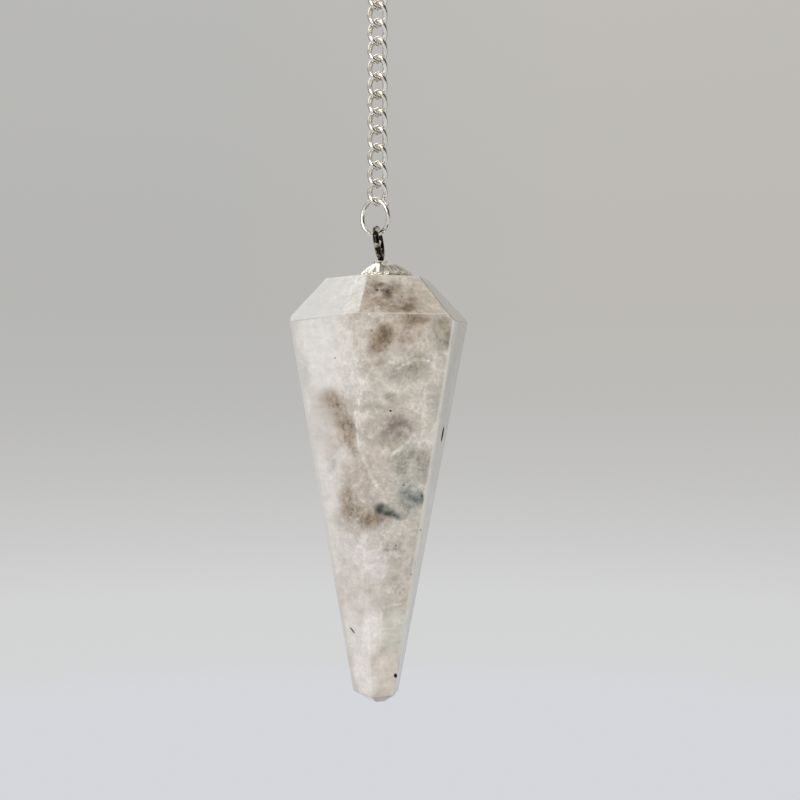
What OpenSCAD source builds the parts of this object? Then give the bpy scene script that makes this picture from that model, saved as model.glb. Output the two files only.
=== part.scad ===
// Pendulum pendant: a six-sided moonstone drop with a fluted cap and a wire eye, hung by a
// jump ring from a fine curb chain that ends in a plain ring.
// Millimetres. +Z is up, -Y is the front, and the origin is where the end ring hangs.

/* [End ring] */
// Inner diameter of the ring that the chain is held by
end_ring_bore = 8.0; // [6.5:0.1:16]
// Diameter of its wire
end_ring_wire = 0.7; // [0.4:0.05:0.8]

/* [Chain] */
// Number of links between the end ring and the jump ring
link_count = 12; // [3:1:30]
// Outer length of a link
link_length = 2.9; // [2.7:0.05:4.5]
// Outer width of a link
link_width = 2.06; // [1.95:0.01:3]
// Diameter of the link's wire
link_wire = 0.5; // [0.3:0.01:0.55]
// Angle between the planes of a link's two ends
link_twist = 90; // [80:1:100]
// Squareness of the link's oval, 2 is an ellipse
link_squareness = 2.4; // [2:0.1:4]

/* [Jump ring] */
// Outer diameter of the jump ring
jump_ring_across = 4.09; // [3.6:0.05:6]
// Diameter of its wire
jump_ring_wire = 0.44; // [0.3:0.01:0.5]
// Turn of the ring about the vertical, 0 faces the front
jump_ring_turn = -38; // [-55:1:-30]
// Distance from the ring's middle to the line that the drop hangs on
jump_ring_shift = 0.2; // [0:0.01:0.4]
// Direction of the opening, from the ring's right side upwards
jump_ring_opening = 46; // [30:1:50]
// Angle by which the two sprung ends pass each other
jump_ring_overlap = 28; // [0:1:30]

/* [Eye] */
// Outer height of the eye
eye_across = 3.62; // [3.2:0.02:6]
// Diameter of its wire and of the peg
eye_wire = 0.62; // [0.4:0.02:0.8]
// Turn of the eye about the vertical, 0 faces the front
eye_turn = 82; // [60:1:90]
// Lean of the eye to the right on its way down
eye_lean = 8; // [0:1:12]
// Part of the turn that is left open beside the peg
eye_opening = 26; // [20:1:60]
// Depth of the peg in the stone
peg_depth = 6.0; // [2:0.5:9]

/* [Cap] */
// Diameter of the cap over its flutes
cap_across = 5.6; // [4:0.1:7.5]
// Height of the cap with its collar
cap_height = 1.75; // [1:0.05:3]
// Height of the collar
cap_collar_height = 0.25; // [0.1:0.05:0.6]
// Diameter of the collar
cap_collar_across = 1.4; // [1.2:0.05:2]
// Thickness of the cap's metal
cap_sheet = 0.22; // [0.15:0.01:0.4]
// Number of flutes
cap_flutes = 18; // [8:1:24]
// Height of a flute at the rim
cap_flute_height = 0.1; // [0:0.01:0.4]
// Share of its distance out by which the rim stands back between two flutes
cap_scallop = 0.03; // [0:0.01:0.12]
// Lean of the cap, right side up
cap_lean = 2.0; // [0:0.5:8]
// Distance of the rim's middle to the right of the collar's
cap_shift = 0.4; // [0:0.02:0.5]
// Roundness of the dome's left side, 1 is a cone
cap_left_roundness = 1.25; // [1:0.05:2.5]
// Roundness of the dome's right side
cap_right_roundness = 1.9; // [1:0.05:2.5]

/* [Stone] */
// Height of the stone
stone_height = 43.0; // [25:0.5:60]
// Width of the stone across the flats of its girdle
girdle_across = 16.24; // [13:0.1:24]
// Height of the crown above the girdle
crown_height = 4.1; // [2:0.1:8]
// Width of the flat top across its flats
table_across = 8.56; // [8:0.1:12]
// Width of the body across its flats where the tip begins
tip_across = 4.16; // [3:0.1:8]
// Height of the tip
tip_height = 0.9; // [0.4:0.05:3]
// Width of the blunt end across its flats
point_across = 1.5; // [0.5:0.1:3]
// Direction that the front facet faces, from the right towards the back
stone_turn = -72; // [-90:1:-60]
// Distance of the stone's axis to the right of the hanging line
stone_shift = -0.1; // [-0.5:0.05:0.5]
// Distance of the girdle's middle to the right of the stone's axis
girdle_shift = 0.35; // [-0.6:0.05:0.6]

/* [Clearances] */
// Gap between wires that hang in each other
wire_gap = 0.08; // [0.05:0.01:0.12]
// Gap between the stone, the cap and the eye
seat_gap = 0.05; // [0.03:0.01:0.12]
// Gap round the peg in the cap and in the stone
peg_gap = 0.12; // [0.05:0.01:0.2]

/* [Hidden] */
$fn = 48;

// Colours of the silvered wire, the steel eye, the cap and the stone
silver = [0.86, 0.85, 0.83];
steel = [0.34, 0.33, 0.31];
bright = [0.90, 0.89, 0.84];
moonstone = [0.80, 0.77, 0.74];

// Steps around a link and around its wire, and across a flute of the cap
link_steps = 16;
wire_sides = 6;
flute_steps = 6;

// Share of a step around a link over which the wire's direction is taken
direction_share = 1 / 8;

// Thickness of the bend between the eye and its peg, as a share of the wire's
bend_share = 1.03;

// End ring, whose inside top is at the origin
end_ring_r = (end_ring_bore + end_ring_wire) / 2;
end_ring_z = -end_ring_bore / 2;

// Chain
link_half_width = (link_width - link_wire) / 2;
link_half_length = (link_length - link_wire) / 2;
link_pitch = 2 * link_half_length - link_wire - wire_gap;
first_link_top = end_ring_z - end_ring_r + (end_ring_wire + link_wire) / 2 + wire_gap;
function link_z(index) = first_link_top - link_half_length - (index - 1) * link_pitch;
chain_bottom = link_z(link_count) - link_half_length;

// Jump ring
jump_ring_r = (jump_ring_across - jump_ring_wire) / 2;
jump_ring_rise = sqrt(pow(jump_ring_r, 2) - pow(jump_ring_shift, 2));
jump_ring_top = chain_bottom + (link_wire + jump_ring_wire) / 2 + wire_gap;
jump_ring_z = jump_ring_top - jump_ring_rise;
drop_pivot = jump_ring_z - jump_ring_rise;

// The ring's left half stays flat. Its right half springs forward about the place that the
// eye hangs on, far enough for the two ends to pass each other.
jump_ring_seam = -acos(jump_ring_shift / jump_ring_r);
jump_ring_right_end = jump_ring_opening + jump_ring_overlap / 2 - jump_ring_seam;
jump_ring_left_end = jump_ring_opening - jump_ring_overlap / 2 - jump_ring_seam;
jump_ring_spring = asin((jump_ring_wire + wire_gap) / (jump_ring_r * (1 - cos(jump_ring_left_end))));

// Eye and peg
eye_r = (eye_across - eye_wire) / 2;
eye_drop = eye_r - (eye_wire + jump_ring_wire) / 2 - wire_gap;
peg_x = (eye_drop + eye_r) * sin(eye_lean);
peg_top = drop_pivot - (eye_drop + eye_r) * cos(eye_lean);
peg_bore = eye_wire + 2 * peg_gap;

// Cap, which leans about the middle of its collar's bore
cap_rim_r = cap_across / 2;
cap_collar_r = cap_collar_across / 2;
cap_dome = cap_height - cap_collar_height;
cap_pivot = cap_height - cap_collar_height / 2;
cap_pivot_z = peg_top - eye_wire / 2 - seat_gap - cap_collar_height / 2
    - cap_collar_r * sin(cap_lean);
cap_bottom = cap_pivot_z - cap_pivot * cos(cap_lean) - (cap_rim_r - cap_shift) * sin(cap_lean);

// Stone
stone_top = cap_bottom - seat_gap;
girdle_z = stone_top - crown_height;
stone_bottom = stone_top - stone_height;
tip_z = stone_bottom + tip_height;

// Sizes of the blank that the stone is cut from and of the blocks that its facets are cut with
blank_across = 4 * girdle_across;
block_size = 4 * max(stone_height, girdle_across);

// Facets from the front one round to the right. Turns are in degrees away from an even sixth.
// The out columns say how far a facet stands out, as a share of the width that it follows.
// turn and out of the crown, out at the table, turn and out of the body, turn and out of the tip
facets = [
    [0, 0, 0.13, 1, -0.01, 0, 0],
    [-2, 0.01, 0.19, 1, 0.045, 0, 0.05],
    [-2, 0.03, -0.05, -2, 0, 0, 0],
    [0, 0, 0, 0, 0, 0, 0.04],
    [-2, 0, 0.07, 0, 0, 0, 0],
    [0, 0, 0.05, 3, 0.015, -12, -0.12],
];
crown_turn = 0;
crown_out = 1;
table_out = 2;
body_turn = 3;
body_out = 4;
tip_turn = 5;
tip_out = 6;

// Shares of the way down the cap's dome
dome_steps = [0.2, 0.4, 0.6, 0.8, 0.92, 1];

// Each piece, from the end ring down

function link_name(index) = str("chain_link_", index < 10 ? "0" : "", index);

function signed_power(value, power) = sign(value) * pow(abs(value), power);

function unit(v) = v / norm(v);

// Middle of a link's wire at an angle round its oval, twisted along its length
function link_point(angle) =
    let (
        across = link_half_width * signed_power(cos(angle), 2 / link_squareness),
        height = link_half_length * signed_power(sin(angle), 2 / link_squareness),
        turn = link_turn(height)
    )
    [across * cos(turn), across * sin(turn), height];

function link_turn(height) = -link_twist / 2 * height / link_half_length;

// Ring of points round the wire at an angle round the oval
function wire_ring(angle, step) =
    let (
        middle = link_point(angle),
        nudge = step * direction_share,
        along = unit(link_point(angle + nudge) - link_point(angle - nudge)),
        turn = link_turn(middle.z),
        flat = [-sin(turn), cos(turn), 0],
        side = unit(flat - (flat * along) * along),
        out = cross(along, side)
    )
    [
        for (corner = [0:wire_sides - 1])
            let (a = (corner + 0.5) * 360 / wire_sides)
            middle + link_wire / 2 * (cos(a) * side + sin(a) * out)
    ];

// Triangles of a closed tube whose rings of points close on each other
function closed_tube_faces(rings, sides) = [
    for (i = [0:rings - 1], j = [0:sides - 1], half = [0, 1])
        let (
            a = i * sides + j,
            b = i * sides + (j + 1) % sides,
            c = ((i + 1) % rings) * sides + (j + 1) % sides,
            d = ((i + 1) % rings) * sides + j
        )
        half == 0 ? [a, b, c] : [a, c, d]
];

// Part of a wire ring that starts at its right side
module wire_arc(radius, wire, angle) {
    rotate_extrude(angle = angle)
        translate([radius, 0])
            circle(d = wire);
}

// Space inside a flat cut that passes two heights at two distances from their own middles
module cut_side(turn, low_z, low_r, low_shift, high_z, high_r, high_shift) {
    low = low_r + low_shift * cos(turn);
    high = high_r + high_shift * cos(turn);
    rotate([0, 0, turn])
        translate([low, 0, low_z])
            rotate([0, atan2(high - low, high_z - low_z), 0])
                translate([-block_size, -block_size / 2, -block_size / 2])
                    cube(block_size);
}

module crown_cut(turn, facet) {
    cut_side(
        turn + facet[crown_turn],
        girdle_z, girdle_across / 2 * (1 + facet[crown_out]), stone_shift + girdle_shift,
        stone_top, table_across / 2 * (1 + facet[table_out]), stone_shift
    );
}

module body_cut(turn, facet) {
    cut_side(
        turn + facet[body_turn],
        tip_z, tip_across / 2, stone_shift,
        girdle_z, girdle_across / 2 * (1 + facet[body_out]), stone_shift + girdle_shift
    );
}

module tip_cut(turn, facet) {
    cut_side(
        turn + facet[body_turn] + facet[tip_turn],
        stone_bottom, point_across / 2 + tip_across / 2 * facet[tip_out], stone_shift,
        tip_z, tip_across / 2 * (1 + facet[tip_out]), stone_shift
    );
}

module end_ring() {
    color(silver)
        translate([0, 0, end_ring_z])
            rotate([90, 0, link_twist / 2])
                wire_arc(end_ring_r, end_ring_wire, 360);
}

module chain_link(index) {
    step = 360 / link_steps;
    points = [for (i = [0:link_steps - 1]) each wire_ring(i * step, step)];
    color(silver)
        translate([0, 0, link_z(index)])
            polyhedron(points, closed_tube_faces(link_steps, wire_sides));
}

module jump_ring() {
    color(silver)
        rotate([0, 0, jump_ring_turn])
            translate([-jump_ring_shift, 0, jump_ring_z])
                rotate([90, 0, 0])
                    rotate([0, 0, jump_ring_seam])
                        union() {
                            mirror([0, 1, 0])
                                wire_arc(jump_ring_r, jump_ring_wire, 360 - jump_ring_left_end);
                            translate([jump_ring_r, 0, 0])
                                sphere(d = jump_ring_wire);
                            translate([jump_ring_r, 0, 0])
                                rotate([0, jump_ring_spring, 0])
                                    translate([-jump_ring_r, 0, 0])
                                        wire_arc(jump_ring_r, jump_ring_wire, jump_ring_right_end);
                        }
}

module eye() {
    color(steel)
        union() {
            translate([0, 0, drop_pivot])
                rotate([0, -eye_lean, 0])
                    translate([0, 0, -eye_drop])
                        rotate([90, 0, eye_turn])
                            rotate([0, 0, -90])
                                wire_arc(eye_r, eye_wire, 360 - eye_opening);
            translate([peg_x, 0, peg_top])
                sphere(d = eye_wire * bend_share);
            translate([peg_x, 0, stone_top - peg_depth])
                cylinder(d = eye_wire, h = peg_top - stone_top + peg_depth);
        }
}

// Points of the cap's section at one angle: over the collar, down the dome and back underneath
function cap_section(angle) =
    let (flute = (1 + cos(cap_flutes * angle)) / 2)
    concat(
        [
            cap_point(angle, eye_wire / 2, cap_height),
            cap_point(angle, cap_collar_r, cap_height),
            cap_point(angle, cap_collar_r, cap_dome)
        ],
        [for (share = dome_steps) dome_point(angle, share, flute, cap_sheet)],
        [for (i = [len(dome_steps) - 1:-1:0]) dome_point(angle, dome_steps[i], flute, 0)],
        [
            cap_point(angle, cap_collar_r, cap_dome - cap_sheet),
            cap_point(angle, eye_wire / 2, cap_dome - cap_sheet)
        ]
    );

function cap_point(angle, radius, height) = [radius * cos(angle), radius * sin(angle), height];

// Point on the sheet of the dome, a lift above its underside
function dome_point(angle, share, flute, lift) =
    let (
        radius = cap_collar_r + (cap_rim_r - cap_collar_r) * share,
        right = (1 + cos(angle)) / 2,
        roundness = cap_left_roundness + (cap_right_roundness - cap_left_roundness) * right,
        height = (cap_dome - cap_sheet) * (1 - pow(share, roundness))
    )
    [cap_shift * share, 0, 0]
    + cap_point(angle, radius * (1 - cap_scallop * share * (1 - flute)),
        height + cap_flute_height * flute * share + lift);

module cap() {
    steps = flute_steps * cap_flutes;
    sides = len(cap_section(0));
    points = [for (i = [0:steps - 1]) each cap_section(i * 360 / steps)];
    color(bright)
        translate([peg_x, 0, cap_pivot_z])
            rotate([0, -cap_lean, 0])
                translate([0, 0, -cap_pivot])
                    difference() {
                        polyhedron(points, closed_tube_faces(steps, sides));
                        translate([0, 0, -cap_height])
                            cylinder(d = peg_bore, h = 3 * cap_height);
                    }
}

module stone() {
    color(moonstone)
        difference() {
            intersection() {
                translate([-blank_across / 2, -blank_across / 2, stone_bottom])
                    cube([blank_across, blank_across, stone_height]);
                intersection_for (i = [0:len(facets) - 1])
                    crown_cut(stone_turn + 60 * i, facets[i]);
                intersection_for (i = [0:len(facets) - 1])
                    body_cut(stone_turn + 60 * i, facets[i]);
                intersection_for (i = [0:len(facets) - 1])
                    tip_cut(stone_turn + 60 * i, facets[i]);
            }
            translate([peg_x, 0, stone_top - peg_depth - peg_gap])
                cylinder(d = peg_bore, h = peg_depth + 2 * peg_gap);
        }
}

end_ring();
for (index = [1:link_count])
    chain_link(index);
jump_ring();
eye();
cap();
stone();
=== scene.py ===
"""Moonstone pendulum pendant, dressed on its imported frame."""

import math
from itertools import combinations

import bmesh
import bpy
from mathutils import Matrix, Vector


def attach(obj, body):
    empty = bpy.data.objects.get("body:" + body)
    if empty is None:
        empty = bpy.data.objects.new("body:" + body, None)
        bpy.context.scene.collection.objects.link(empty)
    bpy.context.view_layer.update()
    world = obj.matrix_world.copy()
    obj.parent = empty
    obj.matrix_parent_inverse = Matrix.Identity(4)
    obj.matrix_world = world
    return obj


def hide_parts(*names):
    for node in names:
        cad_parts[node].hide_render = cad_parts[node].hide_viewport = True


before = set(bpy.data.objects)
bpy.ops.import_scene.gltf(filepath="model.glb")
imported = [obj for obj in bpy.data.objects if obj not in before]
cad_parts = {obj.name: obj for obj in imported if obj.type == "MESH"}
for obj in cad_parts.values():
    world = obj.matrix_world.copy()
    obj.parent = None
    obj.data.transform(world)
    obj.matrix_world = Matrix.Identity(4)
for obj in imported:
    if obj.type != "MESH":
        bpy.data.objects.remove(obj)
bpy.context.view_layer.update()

MM = 0.001

# Camera: its place in millimetres, then its focal length and the picture's size in pixels
EYE_POINT = Vector((2.3, -113.0, -50.1))
FOCAL = 1104.0
PICTURE_SIZE = 800.0
MIDDLE = PICTURE_SIZE / 2
SENSOR_WIDTH = 36.0

# Sizes of the pieces, in millimetres and degrees, as in the solids
END_RING_R = 4.35
END_RING_WIRE = 0.7
LINK_COUNT = 12
LINK_WIRE = 0.5
LINK_HALF_WIDTH = 0.78
LINK_HALF_LENGTH = 1.2
LINK_TWIST = 90.0
LINK_SQUARENESS = 2.4
FIRST_LINK_Z = -8.87
LINK_PITCH = 1.82
RING_WIRE = 0.44
RING_R = 1.825
RING_SHIFT = 0.2
RING_TURN = -38.0
RING_OPENING = 46.0
RING_OVERLAP = 28.0
WIRE_GAP = 0.08
EYE_WIRE = 0.62
EYE_R = 1.5
EYE_TURN = 82.0
EYE_LEAN = 8.0
EYE_OPENING = 26.0
EYE_CORNER = 0.5
PEG_DEPTH = 6.0
SEAT_GAP = 0.05
PEG_GAP = 0.12
CAP_RIM_R = 2.8
CAP_HEIGHT = 1.75
COLLAR_HEIGHT = 0.25
COLLAR_R = 0.7
CAP_SHEET = 0.22
FLUTES = 18
FLUTE_HEIGHT = 0.1
SCALLOP = 0.03
CAP_LEAN = 2.0
CAP_SHIFT = 0.4
LEFT_ROUNDNESS = 1.25
RIGHT_ROUNDNESS = 1.9
STONE_HEIGHT = 43.0
GIRDLE_R = 8.12
CROWN_HEIGHT = 4.1
TABLE_R = 4.28
TIP_R = 2.08
TIP_HEIGHT = 0.9
POINT_R = 0.75
STONE_TURN = -72.0
STONE_SHIFT = -0.1
GIRDLE_SHIFT = 0.35

# Finish that the solids leave out, in millimetres, and the solder joint's waist as a share
JOINT_HALF_WIDTH = 0.07
JOINT_WAIST = 0.05
RING_END_BEVEL = 0.03
EYE_END_BEVEL = 0.05
CAP_EDGE = 0.04
STONE_EDGE = 0.07

# Facets from the front one round to the right: turn and out of the crown, out at the table,
# turn and out of the body, turn and out of the tip
FACETS = [
    (0, 0, 0.13, 1, -0.01, 0, 0),
    (-2, 0.01, 0.19, 1, 0.045, 0, 0.05),
    (-2, 0.03, -0.05, -2, 0, 0, 0),
    (0, 0, 0, 0, 0, 0, 0.04),
    (-2, 0, 0.07, 0, 0, 0, 0),
    (0, 0, 0.05, 3, 0.015, -12, -0.12),
]
FRONT, RIGHT, BACK_RIGHT, BACK, BACK_LEFT, LEFT = range(6)

# Corners closer than this are one, in millimetres
CORNER_SPREAD = 0.25
# Faces that differ by fewer degrees are one facet
SAME_FACET_ANGLE = 2.5
# A smaller face belongs to a rounded edge or to the bore, in square millimetres
SMALLEST_FACET = 1.2

# Heights and angles that follow from the sizes
chain_bottom = FIRST_LINK_Z - (LINK_COUNT - 1) * LINK_PITCH - LINK_HALF_LENGTH
ring_rise = math.sqrt(RING_R**2 - RING_SHIFT**2)
ring_z = chain_bottom + (LINK_WIRE + RING_WIRE) / 2 + WIRE_GAP - ring_rise
drop_pivot = ring_z - ring_rise
ring_seam = -math.acos(RING_SHIFT / RING_R)
ring_right = math.radians(RING_OPENING + RING_OVERLAP / 2) - ring_seam
ring_left = math.radians(RING_OPENING - RING_OVERLAP / 2) - ring_seam
ring_spring = math.asin((RING_WIRE + WIRE_GAP) / (RING_R * (1 - math.cos(ring_left))))
eye_drop = EYE_R - (EYE_WIRE + RING_WIRE) / 2 - WIRE_GAP
peg_x = (eye_drop + EYE_R) * math.sin(math.radians(EYE_LEAN))
peg_top = drop_pivot - (eye_drop + EYE_R) * math.cos(math.radians(EYE_LEAN))
bore_r = EYE_WIRE / 2 + PEG_GAP
cap_lean = math.radians(CAP_LEAN)
cap_pivot = CAP_HEIGHT - COLLAR_HEIGHT / 2
cap_pivot_z = peg_top - EYE_WIRE / 2 - SEAT_GAP - COLLAR_HEIGHT / 2 - COLLAR_R * math.sin(cap_lean)
cap_left = CAP_RIM_R - CAP_SHIFT
cap_bottom = cap_pivot_z - cap_pivot * math.cos(cap_lean) - cap_left * math.sin(cap_lean)
stone_top = cap_bottom - SEAT_GAP
girdle_z = stone_top - CROWN_HEIGHT
stone_bottom = stone_top - STONE_HEIGHT
tip_z = stone_bottom + TIP_HEIGHT


def turn(axis, degrees):
    return Matrix.Rotation(math.radians(degrees), 3, axis)


def add_object(name, data):
    obj = bpy.data.objects.new(name, data)
    bpy.context.scene.collection.objects.link(obj)
    return obj


def piece(name, verts, faces, body, slot, *nodes):
    """A smooth mesh, given in millimetres, that rides on a body and stands for some solids."""
    mesh = bpy.data.meshes.new(name)
    mesh.from_pydata([Vector(v) * MM for v in verts], [], faces)
    mesh.validate()
    mesh.shade_smooth()
    obj = add_object(name, mesh)
    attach(obj, body)
    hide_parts(*nodes)
    return obj


def level_circle(middle_x, radius, z, sides):
    angles = [2 * math.pi * i / sides for i in range(sides)]
    return [(middle_x + radius * math.cos(a), radius * math.sin(a), z) for a in angles]


def bands(rows, sides, closed=False):
    """Faces that join rows of points, each of which goes once round."""
    faces = []
    for i in range(rows if closed else rows - 1):
        k = (i + 1) % rows
        for j in range(sides):
            m = (j + 1) % sides
            faces.append((i * sides + j, i * sides + m, k * sides + m, k * sides + j))
    return faces


def end_faces(rows, sides):
    """The faces that shut the first and the last row."""
    return [tuple(range(sides - 1, -1, -1)), tuple(range((rows - 1) * sides, rows * sides))]


def tube(path, radii, flats, sides, closed):
    """Points and faces of a round tube along a path, with a flat direction at each point."""
    verts = []
    count = len(path)
    for i, (point, radius, flat) in enumerate(zip(path, radii, flats)):
        ahead = path[(i + 1) % count] if closed or i < count - 1 else point
        behind = path[i - 1] if closed or i > 0 else point
        along = (ahead - behind).normalized()
        side = (flat - flat.dot(along) * along).normalized()
        out = along.cross(side)
        for j in range(sides):
            a = 2 * math.pi * j / sides
            verts.append(point + radius * (math.cos(a) * side + math.sin(a) * out))
    faces = bands(count, sides, closed)
    if not closed:
        faces += end_faces(count, sides)
    return verts, faces


def with_cut_ends(path, radius, flats, bevel):
    """Adds the small bevels of two cut ends to a path, and gives the radius at each point."""
    start = (path[1] - path[0]).normalized()
    end = (path[-1] - path[-2]).normalized()
    path = [path[0], path[0] + start * bevel, *path[1:-1], path[-1] - end * bevel, path[-1]]
    flats = [flats[0], flats[0], *flats[1:-1], flats[-1], flats[-1]]
    radii = [radius - bevel, *[radius] * (len(path) - 2), radius - bevel]
    return path, radii, flats


# End ring, closed by a soldered joint at its side
def make_end_ring():
    steps = 160
    place = turn("Z", LINK_TWIST / 2)
    middle = Vector((0, 0, END_RING_WIRE / 2 - END_RING_R))
    path = []
    radii = []
    for i in range(steps):
        a = 2 * math.pi * i / steps
        point = place @ Vector((END_RING_R * math.cos(a), 0, END_RING_R * math.sin(a)))
        path.append(point + middle)
        from_joint = min(a, 2 * math.pi - a) * END_RING_R
        joint = math.exp(-((from_joint / JOINT_HALF_WIDTH) ** 2))
        radii.append(END_RING_WIRE / 2 * (1 - JOINT_WAIST * joint))
    flats = [place @ Vector((0, 1, 0))] * steps
    verts, faces = tube(path, radii, flats, sides=28, closed=True)
    return piece("silver_end_ring", verts, faces, "chain", "silver_wire", "end_ring")


# Twisted links of the curb chain
def squared(share):
    """A share from -1 to 1, drawn out towards the corners of a rounded oblong."""
    return math.copysign(abs(share) ** (2 / LINK_SQUARENESS), share)


def link_turn(height):
    return turn("Z", -LINK_TWIST / 2 * height / LINK_HALF_LENGTH)


def link_point(a):
    across = LINK_HALF_WIDTH * squared(math.cos(a))
    height = LINK_HALF_LENGTH * squared(math.sin(a))
    return link_turn(height) @ Vector((across, 0, height))


def make_link(index):
    steps = 72
    middle = Vector((0, 0, FIRST_LINK_Z - (index - 1) * LINK_PITCH))
    path = [link_point(2 * math.pi * (i + 0.5) / steps) for i in range(steps)]
    flats = [link_turn(p.z) @ Vector((0, 1, 0)) for p in path]
    radii = [LINK_WIRE / 2] * steps
    verts, faces = tube([p + middle for p in path], radii, flats, sides=16, closed=True)
    number = f"{index:02d}"
    return piece("silver_link_" + number, verts, faces, "chain", "silver_wire", "chain_link_" + number)


# Jump ring, whose right half springs forward past the end of its left half
def make_jump_ring():
    steps = 120
    round_angle = ring_right - ring_left + 2 * math.pi
    edge = Vector((RING_R, 0, 0))
    spring = turn("Y", math.degrees(ring_spring))
    path = []
    for i in range(steps + 1):
        a = ring_left - 2 * math.pi + round_angle * i / steps
        point = Vector((RING_R * math.cos(a), RING_R * math.sin(a), 0))
        if a > 0:
            point = edge + spring @ (point - edge)
        path.append(point)
    place = turn("Z", RING_TURN) @ turn("X", 90) @ turn("Z", math.degrees(ring_seam))
    middle = turn("Z", RING_TURN) @ Vector((-RING_SHIFT, 0, 0)) + Vector((0, 0, ring_z))
    path = [middle + place @ p for p in path]
    flats = [place @ Vector((0, 0, 1))] * len(path)
    path, radii, flats = with_cut_ends(path, RING_WIRE / 2, flats, RING_END_BEVEL)
    verts, faces = tube(path, radii, flats, sides=24, closed=False)
    return piece("silver_jump_ring", verts, faces, "ring", "silver_wire", "jump_ring")


# Eye and peg, bent from one wire
def eye_loop(place):
    steps = 110
    middle = Vector((0, 0, drop_pivot)) + turn("Y", -EYE_LEAN) @ Vector((0, 0, -eye_drop))
    first = EYE_CORNER / EYE_R
    last = math.radians(360 - EYE_OPENING)
    loop = []
    for i in range(steps + 1):
        a = first + (last - first) * i / steps
        loop.append(middle + place @ Vector((EYE_R * math.cos(a), EYE_R * math.sin(a), 0)))
    return loop


def make_eye():
    place = turn("Y", -EYE_LEAN) @ turn("Z", EYE_TURN) @ turn("X", 90) @ turn("Z", -90)
    loop = eye_loop(place)
    top = Vector((peg_x, 0, peg_top))
    stem = top - Vector((0, 0, EYE_CORNER))
    bottom = Vector((peg_x, 0, stone_top - PEG_DEPTH))
    stem_steps = 12
    path = [bottom.lerp(stem, i / stem_steps) for i in range(stem_steps)]
    bend_steps = 10
    for i in range(bend_steps):
        t = i / bend_steps
        path.append(stem * (1 - t) ** 2 + top * 2 * t * (1 - t) + loop[0] * t**2)
    path += loop
    flats = [place @ Vector((0, 0, 1))] * len(path)
    path, radii, flats = with_cut_ends(path, EYE_WIRE / 2, flats, EYE_END_BEVEL)
    verts, faces = tube(path, radii, flats, sides=24, closed=False)
    return piece("steel_eye", verts, faces, "drop", "steel_wire", "eye")


# Fluted cap
def dome_point(angle, share, flute, lift):
    """Distance out, height and shift to the right of a point on the dome."""
    radius = COLLAR_R + (CAP_RIM_R - COLLAR_R) * share
    right = (1 + math.cos(angle)) / 2
    roundness = LEFT_ROUNDNESS + (RIGHT_ROUNDNESS - LEFT_ROUNDNESS) * right
    height = (CAP_HEIGHT - COLLAR_HEIGHT - CAP_SHEET) * (1 - share**roundness)
    radius *= 1 - SCALLOP * share * (1 - flute)
    return radius, height + FLUTE_HEIGHT * flute * share + lift, CAP_SHIFT * share


def cap_section(angle):
    """The sheet's outline at an angle: collar, top of the dome, rolled rim and underside."""
    flute = (1 + math.cos(FLUTES * angle)) / 2
    dome = CAP_HEIGHT - COLLAR_HEIGHT
    section = [
        (bore_r, CAP_HEIGHT - CAP_EDGE, 0),
        (bore_r + CAP_EDGE, CAP_HEIGHT, 0),
        (COLLAR_R - CAP_EDGE, CAP_HEIGHT, 0),
        (COLLAR_R, CAP_HEIGHT - CAP_EDGE, 0),
        (COLLAR_R, dome + CAP_EDGE / 2, 0),
    ]
    steps = 20
    section += [dome_point(angle, i / steps, flute, CAP_SHEET) for i in range(1, steps)]
    rim_r, rim_z, rim_shift = dome_point(angle, 1, flute, 0)
    bulge = CAP_SHEET / 2
    rim_steps = 6
    for i in range(rim_steps + 1):
        a = math.pi / 2 - math.pi * i / rim_steps
        out = rim_r - bulge * (1 - math.cos(a))
        section.append((out, rim_z + bulge + bulge * math.sin(a), rim_shift))
    section += [dome_point(angle, i / steps, flute, 0) for i in range(steps - 1, 0, -1)]
    section += [(COLLAR_R, dome - CAP_SHEET, 0), (bore_r, dome - CAP_SHEET, 0)]
    return section


def make_cap():
    steps = FLUTES * 16
    place = Matrix.Rotation(-cap_lean, 3, "Y")
    middle = Vector((peg_x, 0, cap_pivot_z))
    verts = []
    for i in range(steps):
        a = 2 * math.pi * i / steps
        for radius, height, shift in cap_section(a):
            x = radius * math.cos(a) + shift
            point = Vector((x, radius * math.sin(a), height - cap_pivot))
            verts.append(middle + place @ point)
    sides = len(cap_section(0))
    faces = [face[::-1] for face in bands(steps, sides, closed=True)]
    return piece("fluted_cap", verts, faces, "drop", "bright_metal", "cap")


# Planes of the stone, each a direction outwards and its distance from the origin
def cut_plane(azimuth, low_z, low_r, low_shift, high_z, high_r, high_shift):
    a = math.radians(azimuth)
    low = low_r + low_shift * math.cos(a)
    high = high_r + high_shift * math.cos(a)
    lean = math.atan2(high - low, high_z - low_z)
    out = Vector((math.cos(lean) * math.cos(a), math.cos(lean) * math.sin(a), -math.sin(lean)))
    return out, out.dot(Vector((low * math.cos(a), low * math.sin(a), low_z)))


crown_planes = []
body_planes = []
tip_planes = []
middle_shift = STONE_SHIFT + GIRDLE_SHIFT
for i, (crown_turn, crown_out, table_out, body_turn, body_out, tip_turn, tip_out) in enumerate(FACETS):
    azimuth = STONE_TURN + 60 * i
    crown_planes.append(cut_plane(
        azimuth + crown_turn,
        girdle_z, GIRDLE_R * (1 + crown_out), middle_shift,
        stone_top, TABLE_R * (1 + table_out), STONE_SHIFT,
    ))
    body_planes.append(cut_plane(
        azimuth + body_turn,
        tip_z, TIP_R, STONE_SHIFT,
        girdle_z, GIRDLE_R * (1 + body_out), middle_shift,
    ))
    tip_planes.append(cut_plane(
        azimuth + body_turn + tip_turn,
        stone_bottom, POINT_R + TIP_R * tip_out, STONE_SHIFT,
        tip_z, TIP_R * (1 + tip_out), STONE_SHIFT,
    ))
end_planes = [(Vector((0, 0, 1)), stone_top), (Vector((0, 0, -1)), -stone_bottom)]
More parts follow.
